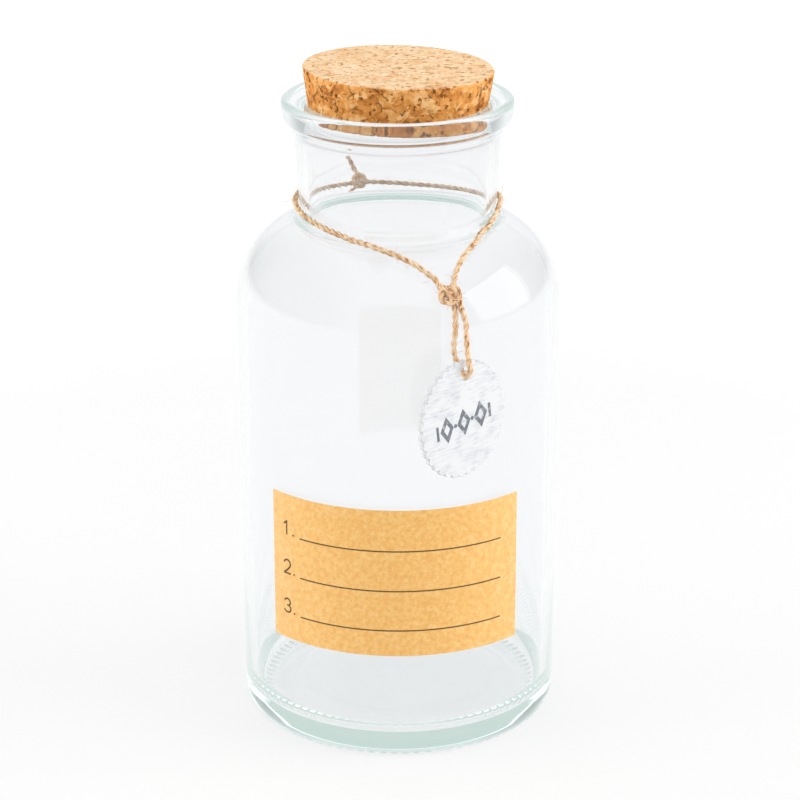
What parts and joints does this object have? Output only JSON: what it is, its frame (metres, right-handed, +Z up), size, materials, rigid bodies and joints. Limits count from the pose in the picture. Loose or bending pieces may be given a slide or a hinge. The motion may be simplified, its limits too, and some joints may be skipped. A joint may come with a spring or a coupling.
{
  "type": "glass storage jar with cork",
  "caption": "Round clear glass storage jar with a rounded shoulder, a beaded lip, a tapered cork, a paper label and a scalloped tag hung on jute twine.",
  "frame": {"origin": "centre of the ring that the jar stands on, on the table", "axes": "+Z up the axis of the jar to the cork; -Y is the front, where the label is; the tag hangs a little to the +X side of it"},
  "size_m": [0.1, 0.1163, 0.2088],
  "materials": {
    "clear_glass": "clear, fire-polished, with a faint green tint in the thick parts",
    "agglomerated_cork": "matt pressed cork granules with open pits",
    "kraft_paper": "matt brown kraft paper with printed numerals and lines",
    "jute_twine": "two-ply natural jute, slightly hairy",
    "whitewashed_wood": "thin white-washed wood with worn grey print"
  },
  "bodies": {
    "jar": {"glass_jar": "clear_glass", "paper_label": "kraft_paper", "neck_twine": "jute_twine", "back_knot": "jute_twine", "front_knot": "jute_twine"},
    "stopper": {"cork_stopper": "agglomerated_cork"},
    "loop": {"tag_loop": "jute_twine"},
    "hung_tag": {"tag": "whitewashed_wood"}
  },
  "joints": [
    {"name": "cork_lift", "type": "slide", "parent": "jar", "child": "stopper", "axis": [0, 0, 1], "range_m": [0, 0.08]},
    {"name": "tag_swing", "type": "hinge", "parent": "jar", "child": "loop", "pos_m": [0.01686, -0.04631, 0.1499], "axis": [-0.9397, -0.342, 0], "range_deg": [0, 85]},
    {"name": "tag_turn", "type": "hinge", "parent": "loop", "child": "hung_tag", "pos_m": [0.02119, -0.05098, 0.12808], "axis": [0, 0, 1], "range_deg": [-40, 0]}
  ]
}
